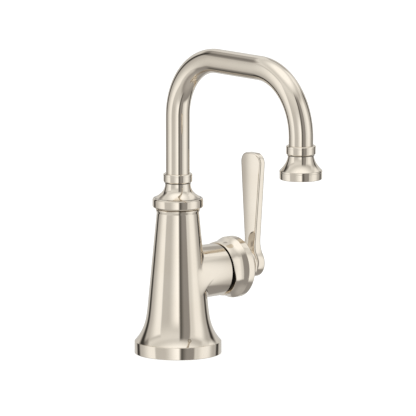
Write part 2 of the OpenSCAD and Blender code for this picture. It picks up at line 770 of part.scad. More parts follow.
// Half of the lever's outline, as [width, height], from the foot to the tip.
function lever_half() =
    let (
        slope = (lever_w - waist_w) / 2 / (lever_h - lever_corner_r - waist_z),
        u = 1 / sqrt(1 + slope * slope),
        fillet = 16,
        c0 = [waist_w / 2 + u * fillet, waist_z - u * slope * fillet] - [0, lever_foot_z],
        d = [u * slope, u],
        b = c0 * d,
        reach_r = lever_foot_r + fillet,
        s = -b + sqrt(b * b - c0 * c0 + reach_r * reach_r),
        c = c0 + s * d,
        foot_a = atan2(c[1], c[0]),
        end_a = 180 - atan(slope)
    )
    concat(
        [for (i = [0:16]) let (a = -90 + (foot_a + 90) * i / 16)
            [lever_foot_r * cos(a), lever_foot_z + lever_foot_r * sin(a)]],
        [for (i = [1:10]) let (a = foot_a + 180 + (end_a - foot_a - 180) * i / 10)
            [c[0] + fillet * cos(a), c[1] + lever_foot_z + fillet * sin(a)]],
        [for (i = [0:12]) let (a = 90 * i / 12)
            [lever_w / 2 - lever_corner_r + lever_corner_r * cos(a), lever_h - lever_corner_r + lever_corner_r * sin(a)]]
    );

module lever_outline() {
    half = lever_half();
    polygon(concat(half, [for (i = [len(half) - 1:-1:0]) [-half[i][0], half[i][1]]]));
}

module lever() {
    sweep = waist_w;
    color(POLISHED) difference() {
        union() {
            lever_slab(lever_back, lever_front);
            intersection() {
                lever_slab(boss_back, lever_back + 0.1);
                turned_x(concat([[boss_back, 0], [boss_back, boss_r - 0.5]],
                    [for (i = [0:8]) let (t = i / 8) [lever_back - (lever_back - boss_back) * pow(1 - t, 2), boss_r - 0.3 + sweep * t]],
                    [[lever_back + 0.2, boss_r + sweep], [lever_back + 0.2, 0]]));
            }
        }
        rod_x(boss_back - 1, spigot_hub_end + seat, spigot_hub_r + seat);
        rod_x(boss_back, lever_front + 1, 2.6);
        rod_x(lever_front - 3, lever_front + 1, 4.6);
    }
}

module lever_slab(x0, x1) {
    translate([x0, 0, handle_z]) rotate([90, 0, 90]) linear_extrude(x1 - x0) lever_outline();
}

module lever_screw() {
    color(STEEL) difference() {
        union() {
            rod_x(stem_end + 2, lever_front - 2.9, 2.45);
            rod_x(lever_front - 3 + seat, lever_front - 1.4, 4.3);
        }
        along_x(lever_front - 2.4) cylinder(r = 1.5, h = 3, $fn = 6);
    }
}

module lever_cap() {
    color(POLISHED) rod_x(lever_front - 1.3, lever_front, 4.6 - seat);
}

module rubber_washer() {
    color(RUBBER) ring(stack_z - rubber_t, stack_z, washer_d / 2, washer_bore / 2);
}

module metal_washer() {
    z = stack_z - rubber_t - seat;
    color(STEEL) ring(z - metal_t, z, washer_d / 2, washer_bore / 2);
}

module mounting_nut() {
    z = stack_z - rubber_t - metal_t - 2 * seat;
    color(BRASS) difference() {
        union() {
            translate([0, 0, z - nut_h]) cylinder(r = nut_af / sqrt(3), h = nut_h - 2, $fn = 6);
            translate([0, 0, z - 2.1]) cylinder(r = nut_af / 2 + 1.5, h = 2.1);
        }
        translate([0, 0, z - nut_h - 1]) cylinder(r = thread_d / 2 + run, h = nut_h + 2);
    }
}

body_shell();
base_plate();
plate_screws();
base_gasket();
mounting_shank();
waterway_manifold();
inlet_seal();
cartridge_barrel();
barrel_screw();
port_seal();
cartridge_foot();
fixed_ceramic_disc();
cartridge_housing();
cartridge_nut();
stub_bonnet();
spout_gland();
swivel_washer();
spout_bonnet();
spout_bead();
spout_tube();
spout_spigot();
spigot_o_rings();
retaining_clip();
outlet_bead();
outlet_bell();
aerator_housing();
flow_straightener();
flow_regulator();
aerator_washer();
temperature_rotor();
pivot_pin();
disc_carrier();
moving_ceramic_disc();
cartridge_stem();
handle_hub();
hub_set_screw();
lever_bead();
lever();
lever_screw();
lever_cap();
rubber_washer();
metal_washer();
mounting_nut();
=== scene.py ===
# Looks of the high arc bathroom faucet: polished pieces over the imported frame, a studio and the camera.
# Sizes are in millimetres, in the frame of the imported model, and become metres when a mesh is made.
import json
import math

import bmesh
import bpy
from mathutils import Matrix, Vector


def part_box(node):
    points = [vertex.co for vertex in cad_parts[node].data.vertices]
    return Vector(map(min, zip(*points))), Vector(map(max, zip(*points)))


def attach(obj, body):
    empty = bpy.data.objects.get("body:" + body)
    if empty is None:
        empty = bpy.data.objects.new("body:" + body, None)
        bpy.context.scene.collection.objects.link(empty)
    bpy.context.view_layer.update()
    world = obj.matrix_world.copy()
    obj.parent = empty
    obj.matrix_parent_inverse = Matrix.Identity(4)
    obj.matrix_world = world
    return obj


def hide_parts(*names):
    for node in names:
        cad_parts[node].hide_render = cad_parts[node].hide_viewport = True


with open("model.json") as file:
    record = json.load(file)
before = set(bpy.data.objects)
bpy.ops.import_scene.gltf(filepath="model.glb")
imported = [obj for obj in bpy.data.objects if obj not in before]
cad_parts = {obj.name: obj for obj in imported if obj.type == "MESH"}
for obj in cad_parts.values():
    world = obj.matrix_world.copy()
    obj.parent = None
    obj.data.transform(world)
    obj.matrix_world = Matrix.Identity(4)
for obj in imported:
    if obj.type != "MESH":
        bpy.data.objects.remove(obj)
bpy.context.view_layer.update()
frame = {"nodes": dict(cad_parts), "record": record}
MM = 0.001


def node_box(node):
    """Lowest and highest corners of a node, in millimetres."""
    low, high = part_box(node)
    return low / MM, high / MM


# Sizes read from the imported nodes
body_low, body_high = node_box("body_shell")
BASE_R = -body_low.x
BODY_H = body_high.z
STUB_X = body_high.x
collar_low, collar_high = node_box("spout_bonnet")
COLLAR_R = collar_high.x
COLLAR_Z = collar_low.z
BONNET_TOP = collar_high.z
tube_low, tube_high = node_box("spout_tube")
TUBE_R = tube_high.x
TUBE_FOOT = tube_low.z
ARCH_Z = tube_high.z - TUBE_R
REACH = -tube_low.y - TUBE_R
cup_low, cup_high = node_box("outlet_bell")
CUP_Z = cup_low.z
CUP_TOP = cup_high.z
SPOUT_BEAD_Z = node_box("spout_bead")[0].z
OUTLET_BEAD_Z = node_box("outlet_bead")[0].z
bead_low, bead_high = node_box("lever_bead")
HANDLE_Z = (bead_low.z + bead_high.z) / 2
HANDLE_BEAD_X = bead_low.x
HANDLE_BEAD_W = bead_high.x - bead_low.x
LEVER_X1 = node_box("lever")[1].x
LEVER_TOP = node_box("lever")[1].z - HANDLE_Z
SHANK_END = node_box("mounting_shank")[0].z

# Sizes of the body. The radii of the wall's inner side are at its foot and its top, and the wall's rows of
# faces are 1 mm apart where the stub's bore passes through it.
BASE_H = 8.3
FLARE_H = 36.0
FLARE_R = 20.5
FLARE_POWER = 3.45
NECK_R = 14.55
NECK_Z = BODY_H - 2.8
CONE_SLOPE = (FLARE_R - NECK_R) / (NECK_Z - FLARE_H)
WALL_FOOT_R = 18.1
WALL_TOP_R = 12.2
WALL_ROWS = [FLARE_H + 0.5 + k for k in range(38)]
RECESS_R = 22.0
RECESS_TOP_R = 20.4
RECESS_H = 12.2
STUB_START = 6.0
STUB_R = 18.15
STUB_BORE = 15.85
STUB_FILLET = 1.6
SIDE_FILLET = 80.0
SIDE_POWER = 16
FILLET_PROUD = 0.003
FILLET_ROOT = 0.6
PIVOT_X = STUB_X + 3.4
SLIT_X = STUB_X + 0.35
SLIT_BALL_R = STUB_R - 1.75

# Sizes of the spout
COLLAR_BORE = 12.0
COLLAR_EDGE = 16.9
COLLAR_TOP = 107.9
TRUMPET_R = 16.0
TUBE_IN = 7.0
BEND_R = 42.0
BEAD_R = 9.9
BEAD_H = 6.2
CUP_R = 14.25
CUP_BORE = 12.0
CUP_RING_H = 6.1
CUP_LIP = 0.12
# Dark rings of painted shadow in the gaps under the beads: their radius, their height, and how far below the
# bead they start.
PAINTED_SHADOW_R = 9.1
PAINTED_SHADOW_H = 0.45
PAINTED_SHADOW_DROP = 0.4

# Sizes of the handle
FLANGE_R = 21.25
FLANGE_A = STUB_X + 12.7
FLANGE_B = FLANGE_A + 5.2
HUB_RISE = 0.3
HUB_BACK_R = 18.4
HUB_END = FLANGE_B + 9.6
CAVITY_R = 16.8
LEVER_EDGE = 1.1
FOOT_R = 10.1
FOOT_Z = 1.5
WAIST = 5.6
WAIST_Z = 20.0
WAIST_FILLET = 16.0
WIDE = 9.95
CORNER = 7.0

# Ridge of the lever's inner face: the lever's thickness at its crest, where the crest lies, the slope it
# tends to and how softly. The swelling at the boss starts at a distance from the handle's axis.
LEVER_T = 6.2
RIDGE_X = LEVER_X1 - LEVER_T
RIDGE_Y = 2.3
RIDGE_SLOPE = 0.2
RIDGE_SOFT = 6.0
SWELL_FROM = 20
SWELL_SPAN = 10.4
SWELL = 2.2

# Sizes below the deck
SHANK_TOP = 9.2
DECK_T = 30.0
REGISTER_R = 15.875
THREAD_R = 15.5
THREAD_ROOT = 14.7
THREAD_PITCH = 1.8
SHANK_BORE = 13.3

# Facets round the turned pieces, and the play between fitted pieces
ROUND = 256
PLAY = 0.05


def rounded(points, steps=6):
    """Line through (a, b, radius) points, with each inner corner rounded to its radius."""
    out = [tuple(points[0][:2])]
    for before, point, after in zip(points, points[1:], points[2:]):
        radius = point[2] if len(point) > 2 else 0
        corner = Vector(point[:2])
        u = Vector(before[:2]) - corner
        v = Vector(after[:2]) - corner
        angle = u.angle(v)
        if radius <= 0 or angle > math.pi - 0.02:
            out.append(tuple(corner))
            continue
        cut = min(radius / math.tan(angle / 2), 0.49 * u.length, 0.49 * v.length)
        radius = cut * math.tan(angle / 2)
        centre = corner + (u.normalized() + v.normalized()).normalized() * (radius / math.sin(angle / 2))
        start = corner + u.normalized() * cut - centre
        end = corner + v.normalized() * cut - centre
        turn = math.atan2(start.x * end.y - start.y * end.x, start.dot(end))
        for k in range(steps + 1):
            w = turn * k / steps
            out.append((centre.x + start.x * math.cos(w) - start.y * math.sin(w),
                        centre.y + start.x * math.sin(w) + start.y * math.cos(w)))
    out.append(tuple(points[-1][:2]))
    return out


def through(points, x):
    """Height at x of a smooth curve through (x, height) points."""
    last = len(points) - 1
    if x <= points[0][0]:
        return points[0][1]
    if x >= points[last][0]:
        return points[last][1]
    i = max(k for k in range(last) if points[k][0] <= x)
    slopes = []
    for k in (i, i + 1):
        a, b = points[max(k - 1, 0)], points[min(k + 1, last)]
        slopes.append((b[1] - a[1]) / (b[0] - a[0]))
    (x0, y0), (x1, y1) = points[i], points[i + 1]
    w = x1 - x0
    t = (x - x0) / w
    return ((2 * t ** 3 - 3 * t ** 2 + 1) * y0 + (t ** 3 - 2 * t ** 2 + t) * w * slopes[0]
            + (3 * t ** 2 - 2 * t ** 3) * y1 + (t ** 3 - t ** 2) * w * slopes[1])


class Solids:
    """Closed solids collected into the mesh of one piece."""

    def __init__(self):
        self.verts = []
        self.faces = []

    def add(self, verts, faces):
        base = len(self.verts)
        self.verts += verts
        self.faces += [tuple(base + i for i in face) for face in faces]
        return self

    def turned(self, profile, centre=(0, 0)):
        """A closed outline of (radius, height) points, turned about an upright axis."""
        x, y = centre
        verts = [(x + r * math.cos(a), y + r * math.sin(a), z) for r, z in profile for a in turns()]
        return self.add(verts, ring_faces(len(profile)))

    def turned_x(self, profile):
        """A closed outline of (x, radius) points, turned about the handle's axis."""
        verts = [(x, r * math.cos(a), HANDLE_Z + r * math.sin(a)) for x, r in profile for a in turns()]
        return self.add(verts, ring_faces(len(profile)))

    def piece(self, name, body, node, material, slot="polished_finish", sharp=36):
        """Makes the object, which rides on a body and stands for a node."""
        mesh = bpy.data.meshes.new(name)
        mesh.from_pydata([tuple(c * MM for c in v) for v in self.verts], [], self.faces)
        build = bmesh.new()
        build.from_mesh(mesh)
        bmesh.ops.remove_doubles(build, verts=build.verts, dist=1e-6)
        bmesh.ops.dissolve_degenerate(build, edges=build.edges, dist=1e-6)
        bmesh.ops.recalc_face_normals(build, faces=build.faces)
        build.to_mesh(mesh)
        build.free()
        mesh.polygons.foreach_set("use_smooth", [True] * len(mesh.polygons))
        mesh.set_sharp_from_angle(angle=math.radians(sharp))
        mesh.materials.append(material)
        piece = bpy.data.objects.new(name, mesh)
        bpy.context.scene.collection.objects.link(piece)
        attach(piece, body)
        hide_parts(node)
        return piece


def turns(count=ROUND):
    return [2 * math.pi * j / count for j in range(count)]


def ring_faces(rows, cols=ROUND):
    """Quads of a grid that closes on itself both ways."""
    faces = []
    for i in range(rows):
        a, b = i * cols, (i + 1) % rows * cols
        faces += [(a + j, a + (j + 1) % cols, b + (j + 1) % cols, b + j) for j in range(cols)]
    return faces


def bell(r0, r1, z0, z1, power, steps=40):
    """Points of a bell that narrows from r0 at z0 to r1 at z1."""
    return [(r1 + (r0 - r1) * (1 - i / steps) ** power, z0 + (z1 - z0) * i / steps)
            for i in range(steps + 1)]


class Graph:
    """Nodes of a material or a world, added and joined in one line each."""

    def __init__(self, owner):
        owner.use_nodes = True
        self.tree = owner.node_tree

    def put(self, socket, value):
        if isinstance(value, bpy.types.NodeSocket):
            self.tree.links.new(value, socket)
        else:
            socket.default_value = value

    def add(self, kind, **inputs):
        node = self.tree.nodes.new(kind)
        for name, value in inputs.items():
            self.put(node.inputs[name.replace("_", " ")], value)
        return node

    def calc(self, operation, *values):
        node = self.add("ShaderNodeMath")
        node.operation = operation
        for socket, value in zip(node.inputs, values):
            self.put(socket, value)
        return node.outputs[0]

    def plus(self, a, b):
        return self.calc("ADD", a, b)

    def times(self, a, b):
        return self.calc("MULTIPLY", a, b)

    def step(self, value, start, end, low=0.0, high=1.0):
        """Goes smoothly from low to high as the value goes from start to end."""
        node = self.add("ShaderNodeMapRange", Value=value, From_Min=start, From_Max=end,
                        To_Min=low, To_Max=high)
        node.interpolation_type = "SMOOTHSTEP"
        return node.outputs[0]

    def mixed(self, factor, a, b):
        node = self.add("ShaderNodeMix")
        node.data_type = "RGBA"
        self.put(node.inputs[0], factor)
        self.put(node.inputs[6], (*a, 1))
        self.put(node.inputs[7], (*b, 1))
        return node.outputs[2]

    def noise(self, scale, detail=3.0, stretch=(1, 1, 1)):
        """Noise in the object's own coordinates, in features per metre, stretched along an axis."""
        place = self.add("ShaderNodeTexCoord").outputs["Object"]
        mapping = self.add("ShaderNodeMapping", Vector=place, Scale=stretch)
        node = self.add("ShaderNodeTexNoise", Vector=mapping.outputs[0], Scale=scale, Detail=detail)
        return node.outputs["Fac"]


def surface(name, dark, light, metallic, rough, spread,
            patch=40.0, grain=900.0, stretch=(1, 1, 1), bump=0.05):
    """A material with clouded colour, uneven roughness and a fine grain."""
    material = bpy.data.materials.new(name)
    graph = Graph(material)
    shader = material.node_tree.nodes["Principled BSDF"]
    shader.inputs["Metallic"].default_value = metallic
    clouds = graph.step(graph.noise(patch), 0.3, 0.7)
    graph.put(shader.inputs["Base Color"], graph.mixed(clouds, dark, light))
    fine = graph.noise(grain, 2.0, stretch)
    uneven = graph.plus(graph.times(graph.noise(patch * 2.5), 0.6), graph.times(fine, 0.4))
    graph.put(shader.inputs["Roughness"], graph.step(uneven, 0.3, 0.7, rough - spread, rough + spread))
    relief = graph.add("ShaderNodeBump", Strength=bump, Distance=0.0001, Height=fine)
    graph.put(shader.inputs["Normal"], relief.outputs[0])
    return material


nickel = surface("polished_nickel", (0.785, 0.715, 0.62), (0.81, 0.745, 0.655), metallic=1.0,
                 rough=0.055, spread=0.015, grain=500.0, stretch=(1, 1, 6), bump=0.002)
# Near-black metal: painted shade for the cap seen in the slit, which is plain metal lying in shadow there.
painted_shade = surface("painted_shade_nickel", (0.010, 0.009, 0.008), (0.016, 0.014, 0.012), metallic=1.0,
                 rough=0.3, spread=0.08, bump=0.05)
brass = surface("machined_brass", (0.62, 0.45, 0.20), (0.74, 0.57, 0.29), metallic=1.0,
                rough=0.3, spread=0.08, stretch=(0.1, 0.1, 4), bump=0.25)
steel = surface("stainless_steel", (0.50, 0.50, 0.51), (0.62, 0.62, 0.64), metallic=1.0,
                rough=0.28, spread=0.07, stretch=(4, 0.2, 0.2), bump=0.2)
rubber = surface("black_rubber", (0.012, 0.012, 0.013), (0.03, 0.03, 0.032), metallic=0.0,
                 rough=0.62, spread=0.12, grain=2500.0, bump=0.5)
plastic = surface("white_plastic", (0.72, 0.71, 0.66), (0.82, 0.81, 0.77), metallic=0.0,
                  rough=0.38, spread=0.08, grain=1800.0, bump=0.2)
ceramic = surface("white_ceramic", (0.86, 0.86, 0.83), (0.92, 0.92, 0.90), metallic=0.0,
                  rough=0.12, spread=0.05, grain=2500.0, bump=0.03)
MATERIALS = {
    "polished_finish": nickel,
    "brass": brass,
    "steel": steel,
    "rubber": rubber,
    "plastic": plastic,
    "ceramic": ceramic,
}


def dress_nodes():
    """Gives each carried-over node the material of its slot in the record."""
    for part in frame["record"]["subparts"]:
        mesh = frame["nodes"][part["node"]].data
        mesh.materials.clear()
        mesh.materials.append(MATERIALS[part["material_slot"]])


def cone_r(z):
    return FLARE_R + (FLARE_H - z) * CONE_SLOPE


def flare_r(z):
    """Radius of the body at a height: a cone that flares out at its foot."""
    if z >= FLARE_H:
        return cone_r(z)
    foot_z = BASE_H + 0.3
    foot = BASE_R - 0.3 - cone_r(foot_z)
    return cone_r(z) + foot * ((FLARE_H - z) / (FLARE_H - foot_z)) ** FLARE_POWER


def wall_in_r(z):
    """Radius of the inner side of the body's wall."""
    return WALL_FOOT_R + (WALL_TOP_R - WALL_FOOT_R) * (z - FLARE_H) / (NECK_Z - FLARE_H)


def body_outline():
    """Closed outline of the body: the base ring, the flare and cone, the lip, and the wall's inner side."""
    foot_z = BASE_H + 0.3
    ring = rounded([(RECESS_R, 0.0), (BASE_R, 0.0, 0.4), (BASE_R, BASE_H, 0.35), (BASE_R - 0.45, foot_z)], 5)
    steps = 64
    flare = [foot_z + (FLARE_H - foot_z) * (i / steps) ** 1.15 for i in range(steps + 1)]
    outside = [(flare_r(z), z) for z in flare + WALL_ROWS + [78, 90, 94, NECK_Z - 0.5]]
    lip = rounded([
        (cone_r(NECK_Z - 0.4), NECK_Z - 0.4),
        (NECK_R, NECK_Z, 1.0),
        (NECK_R + 0.62, BODY_H - 1.0, 0.5),
        (NECK_R + 0.6, BODY_H - 0.3, 0.3),
        (NECK_R + 0.1, BODY_H, 0.2),
        (WALL_TOP_R, BODY_H),
    ], 5)
    inside = [(wall_in_r(z), z) for z in [NECK_Z] + WALL_ROWS[::-1] + [FLARE_H]]
    return ring + outside + lip + inside + [(RECESS_TOP_R, RECESS_H), (RECESS_R, RECESS_H)]


def bored_wall(outline):
    """Faces of the turned body, with an opening for the stub's bore through both sides of its wall."""
    outer = [outline.index((flare_r(z), z)) * ROUND for z in WALL_ROWS]
    inner = [outline.index((wall_in_r(z), z)) * ROUND for z in WALL_ROWS]
    opening_r = (STUB_BORE + STUB_R) / 2
    cells = set()
    for k, z in enumerate(WALL_ROWS[:-1]):
        for j in range(ROUND):
            a = 2 * math.pi * (j + 0.5) / ROUND
            from_axis = math.hypot(cone_r(z) * math.sin(a), z + 0.5 - HANDLE_Z)
            if math.cos(a) > 0 and from_axis < opening_r:
                cells.add((k, j))
    cut = {outer[k] + j for k, j in cells} | {inner[k + 1] + j for k, j in cells}
    faces = [face for face in ring_faces(len(outline)) if face[0] not in cut]
    for k, j in cells:
        corners = [(k, j), (k, (j + 1) % ROUND), (k + 1, (j + 1) % ROUND), (k + 1, j)]
        beyond = [(k - 1, j), (k, (j + 1) % ROUND), (k + 1, j), (k, (j - 1) % ROUND)]
        for (a, u), (b, v), cell in zip(corners, corners[1:] + corners[:1], beyond):
            if cell not in cells:
                faces.append((outer[a] + u, outer[b] + v, inner[b] + v, inner[a] + u))
    return faces


def ball_on_cone(x, y, z):
    """Signed distance from a point to the flared cone, and the nearest point's radius and height."""
    rho = math.hypot(x, y)
    h = z
    for _ in range(20):
        slope = (flare_r(h + 0.01) - flare_r(h - 0.01)) / 0.02
        h = max(min(z + slope * (rho - flare_r(h)), 95), 9)
    r = flare_r(h)
    side = 1 if rho > r else -1
    return side * math.hypot(rho - r, z - h), r, h


def stub_fillet(steps=12):
    """Solid strip that a rolling ball leaves between the stub and the cone. The ball grows at the sides."""
    verts = []
    for a in turns():
        y, z = math.cos(a), math.sin(a)
        ball_r = STUB_FILLET * (SIDE_FILLET / STUB_FILLET) ** (abs(y) ** SIDE_POWER)
        ball_y = (STUB_R + ball_r) * y
        ball_z = HANDLE_Z + (STUB_R + ball_r) * z
        low, high = 0.0, 40.0
        for _ in range(40):
            x = (low + high) / 2
            if ball_on_cone(x, ball_y, ball_z)[0] > ball_r:
                high = x
            else:
                low = x
        _, r, h = ball_on_cone(x, ball_y, ball_z)
        rho = math.hypot(x, ball_y)
        centre = Vector((x, ball_y, ball_z))
        on_stub = Vector((x, STUB_R * y, HANDLE_Z + STUB_R * z)) - centre
        on_cone = Vector((x / rho * r, ball_y / rho * r, h)) - centre
        angle = on_stub.angle(on_cone)
        for k in range(steps + 1):
            t = k / steps
            way = on_stub * math.sin((1 - t) * angle) + on_cone * math.sin(t * angle)
            verts.append(tuple(centre + way.normalized() * (ball_r - FILLET_PROUD)))
        inward = (on_stub + on_cone).normalized()
        verts.append(tuple(centre + inward * (ball_r / math.cos(angle / 2) + FILLET_ROOT)))
    rows = steps + 2
    faces = []
    for j in range(ROUND):
        a, b = j * rows, (j + 1) % ROUND * rows
        faces += [(a + i, b + i, b + (i + 1) % rows, a + (i + 1) % rows) for i in range(rows)]
    return verts, faces


def body_casting():
    """Body with its stub and the blend between them."""
    stub = rounded([
        (STUB_START, STUB_R),
        (SLIT_X, STUB_R, 0.25),
        (SLIT_X, STUB_BORE, 0.1),
        (STUB_START, STUB_BORE),
    ], 4)
    outline = body_outline()
    wall = [(r * math.cos(a), r * math.sin(a), z) for r, z in outline for a in turns()]
    solids = Solids().add(wall, bored_wall(outline)).turned_x(stub).add(*stub_fillet())
    solids.piece("body_casting", "faucet_body", "body_shell", nickel)


def bonnet_in_slit():
    """Round cap in the stub's end, seen in the slit behind the hub, given near-black metal as painted shade
    for the dark slit.
    """
    arc = [math.radians(102 - 33.5 * i / 24) for i in range(25)]
    outline = [(28.8, 15.8), (33.5, 15.8)]
    outline += [(PIVOT_X + SLIT_BALL_R * math.cos(a), SLIT_BALL_R * math.sin(a)) for a in arc]
    outline += [(PIVOT_X + 6, 14.0), (STUB_X, 14.9), (28.8, 14.0)]
    Solids().turned_x(outline).piece("bonnet_in_slit", "faucet_body", "stub_bonnet", painted_shade)


def spout_collar():
    """Collar over the body's lip, and the trumpet from it up to the tube."""
    foot = rounded([
        (COLLAR_BORE, COLLAR_Z),
        (COLLAR_EDGE - 1.1, COLLAR_Z, 0.3),
        (COLLAR_EDGE, COLLAR_Z + 0.6, 0.6),
        (COLLAR_R, COLLAR_Z + 1.3, 0.5),
        (COLLAR_R, COLLAR_TOP - 1.1, 0.4),
        (COLLAR_EDGE, COLLAR_TOP - 0.3, 0.3),
        (TRUMPET_R + 0.2, COLLAR_TOP),
    ], 5)
    trumpet = bell(TRUMPET_R, TUBE_R + 0.6, COLLAR_TOP, BONNET_TOP, power=2.6)
    bore = [(TUBE_R + 0.1, BONNET_TOP), (TUBE_R + 0.1, TUBE_FOOT), (COLLAR_BORE, TUBE_FOOT)]
    Solids().turned(foot + trumpet + bore).piece("spout_collar", "spout", "spout_bonnet", nickel)


def bead(name, node, z, centre):
    """Bead round the tube, with a raised lip near its top."""
    r = BEAD_R
    top = z + BEAD_H
    outline = rounded([
        (TUBE_R + PLAY, z),
        (r - 0.7, z, 0.3),
        (r, z + 0.8, 0.6),
        (r, top - 1.7, 0.2),
        (r + 0.08, top - 1.45, 0.2),
        (r + 0.08, top - 0.5, 0.3),
        (r - 0.35, top, 0.3),
        (TUBE_R + PLAY, top),
    ], 5)
    Solids().turned(outline, centre).piece(name, "spout", node, nickel)


def painted_shadow_ring(name, node, r, z, height, centre=(0, 0)):
    """Thin dark rubber ring below a bead or a trumpet: painted shadow that stands in for the shade in the
    gap.
    """
    outline = [(TUBE_R + 0.2, z), (r, z), (r, z + height), (TUBE_R + 0.2, z + height)]
    Solids().turned(outline, centre).piece(name, "spout", node, rubber, slot="rubber")


def outlet_cup():
    """Ring at the outlet with a fine lip, and the trumpet from it up to the tube."""
    r = CUP_R
    ring = rounded([
        (CUP_BORE, CUP_Z),
        (r, CUP_Z, 0.5),
        (r, CUP_Z + 4.6, 0.15),
        (r + CUP_LIP, CUP_Z + 4.9, 0.2),
        (r + CUP_LIP, CUP_Z + 5.7, 0.2),
        (r - 0.15, CUP_Z + CUP_RING_H),
    ], 5)
    trumpet = bell(r - 0.2, TUBE_R + 0.5, CUP_Z + CUP_RING_H, CUP_TOP, power=1.9)
    bore = [(TUBE_R + 0.1, CUP_TOP), (TUBE_R + 0.1, CUP_TOP - 4.8), (CUP_BORE, CUP_TOP - 8.1)]
    Solids().turned(ring + trumpet + bore, (0, -REACH)).piece("outlet_cup", "spout", "outlet_bell", nickel)


def gooseneck():
    """Bent tube, swept along an upright run, two quarter bends and a drop."""
    quarter = math.pi / 2
    bend_z = ARCH_Z - BEND_R
    rise = bend_z - TUBE_FOOT
    path = [(0.0, TUBE_FOOT + rise * i / 9, 0.0) for i in range(9)]
    bend = [quarter * i / 48 for i in range(49)]
    path += [(-BEND_R + BEND_R * math.cos(a), bend_z + BEND_R * math.sin(a), a) for a in bend]
    path += [(-BEND_R - (REACH - 2 * BEND_R) * i / 6, ARCH_Z, quarter) for i in range(1, 6)]
    far_y = BEND_R - REACH
    path += [(far_y - BEND_R * math.sin(a), bend_z + BEND_R * math.cos(a), quarter + a) for a in bend]
    path += [(-REACH, 156.0, math.pi), (-REACH, CUP_TOP - 4.6, math.pi)]
    verts = []
    for r, stations in ((TUBE_R, path), (TUBE_IN, path[::-1])):
        for y, z, lean in stations:
            for a in turns():
                out = r * math.cos(a)
                verts.append((r * math.sin(a), y + out * math.cos(lean), z + out * math.sin(lean)))
    Solids().add(verts, ring_faces(2 * len(path))).piece("gooseneck", "spout", "spout_tube", nickel)


def dome_r(x):
    """Radius of the hub along the handle's axis, over the dome and up the trumpet to the flange."""
    return through([
        (33.6, 17.6), (34.4, 18.1), (35.2, 18.42), (36.2, 18.64), (38.0, 18.9),
        (40.2, 19.12), (41.2, 19.28), (42.0, 19.46), (42.8, 19.7), (43.5, 19.95),
        (44.2, 20.24), (44.9, 20.56), (45.5, 20.86), (FLANGE_A, 21.15),
    ], x)


def hub_back_x(z):
    """Where the hub's back edge lies, at a height above the axis. It is cut back below, for the tilt."""
    return through([
        (-30, 37.4), (-8, 37.4), (-5, 37.2), (-2.5, 36.5),
        (0, 35.85), (3, 35.4), (8, 35.15), (30, 35.1),
    ], z)


def hub_front():
    """Outline of the hub from the flange over the neck to the stem's bore and the cavity."""
    start, end = FLANGE_B + 0.8, HUB_END - 2.6
    wide, slim = FLANGE_R - 0.9, 9.2
    rim = rounded([
        (FLANGE_A, dome_r(FLANGE_A)),
        (FLANGE_A + 0.12, FLANGE_R, 0.1),
        (FLANGE_B - 0.3, FLANGE_R, 0.3),
        (FLANGE_B, FLANGE_R - 0.3, 0.2),
        (FLANGE_B + 0.4, FLANGE_R - 0.6, 0.15),
        (start, wide),
    ], 5)
    neck = [(x, r) for r, x in bell(wide, slim, start, end, power=2.6, steps=32)[1:]]
    stem_r, spigot_r, floor_x = 3.1, 6.0, PIVOT_X + 9.5
    inside = [
        (HUB_END, slim),
        (HUB_END, spigot_r),
        (HUB_END + 3.4, spigot_r),
        (HUB_END + 3.4, stem_r),
        (floor_x, stem_r),
        (floor_x, 13.9),
    ]
    arc = [math.radians(56 + 2.4 * i) for i in range(12)]
    cavity = [(PIVOT_X + CAVITY_R * math.cos(a), CAVITY_R * math.sin(a)) for a in arc]
    return rim[1:] + neck + inside + cavity


def handle_hub():
    """Hub whose back edge and rounded rim follow the relief cut, row by row."""
    rim_r = 0.3
    rim_rows, dome_rows = 5, 36
    verts = []
    for row in range(rim_rows + dome_rows + 1):
        for a in turns():
            back = hub_back_x(HUB_BACK_R * math.sin(a))
            if row == 0:
                x, r = back, math.sqrt(CAVITY_R ** 2 - (back - PIVOT_X) ** 2)
            elif row <= rim_rows:
                w = math.pi / 2 * (row - 1) / (rim_rows - 1)
                x, r = back + rim_r * (1 - math.cos(w)), dome_r(back + rim_r) - rim_r * (1 - math.sin(w))
            else:
                x = back + rim_r + (FLANGE_A - back - rim_r) * (row - rim_rows) / dome_rows
                r = dome_r(x)
            verts.append((x, r * math.cos(a), HANDLE_Z + HUB_RISE + r * math.sin(a)))
    front = hub_front()
    for x, r in front:
        verts += [(x, r * math.cos(a), HANDLE_Z + HUB_RISE + r * math.sin(a)) for a in turns()]
    rows = rim_rows + dome_rows + 1 + len(front)
    Solids().add(verts, ring_faces(rows)).piece("hub_of_handle", "handle", "handle_hub", nickel, sharp=34)


def ring_behind_lever():
    """Thin ring between the hub and the lever, on the hub's spigot."""
    start, end = HANDLE_BEAD_X, HANDLE_BEAD_X + HANDLE_BEAD_W
    r, bore = 10.5, 6.05
    outline = rounded([(start, bore), (start, r, 0.55), (end, r, 0.55), (end, bore)], 6)
    Solids().turned_x(outline).piece("ring_behind_lever", "handle", "lever_bead", nickel)


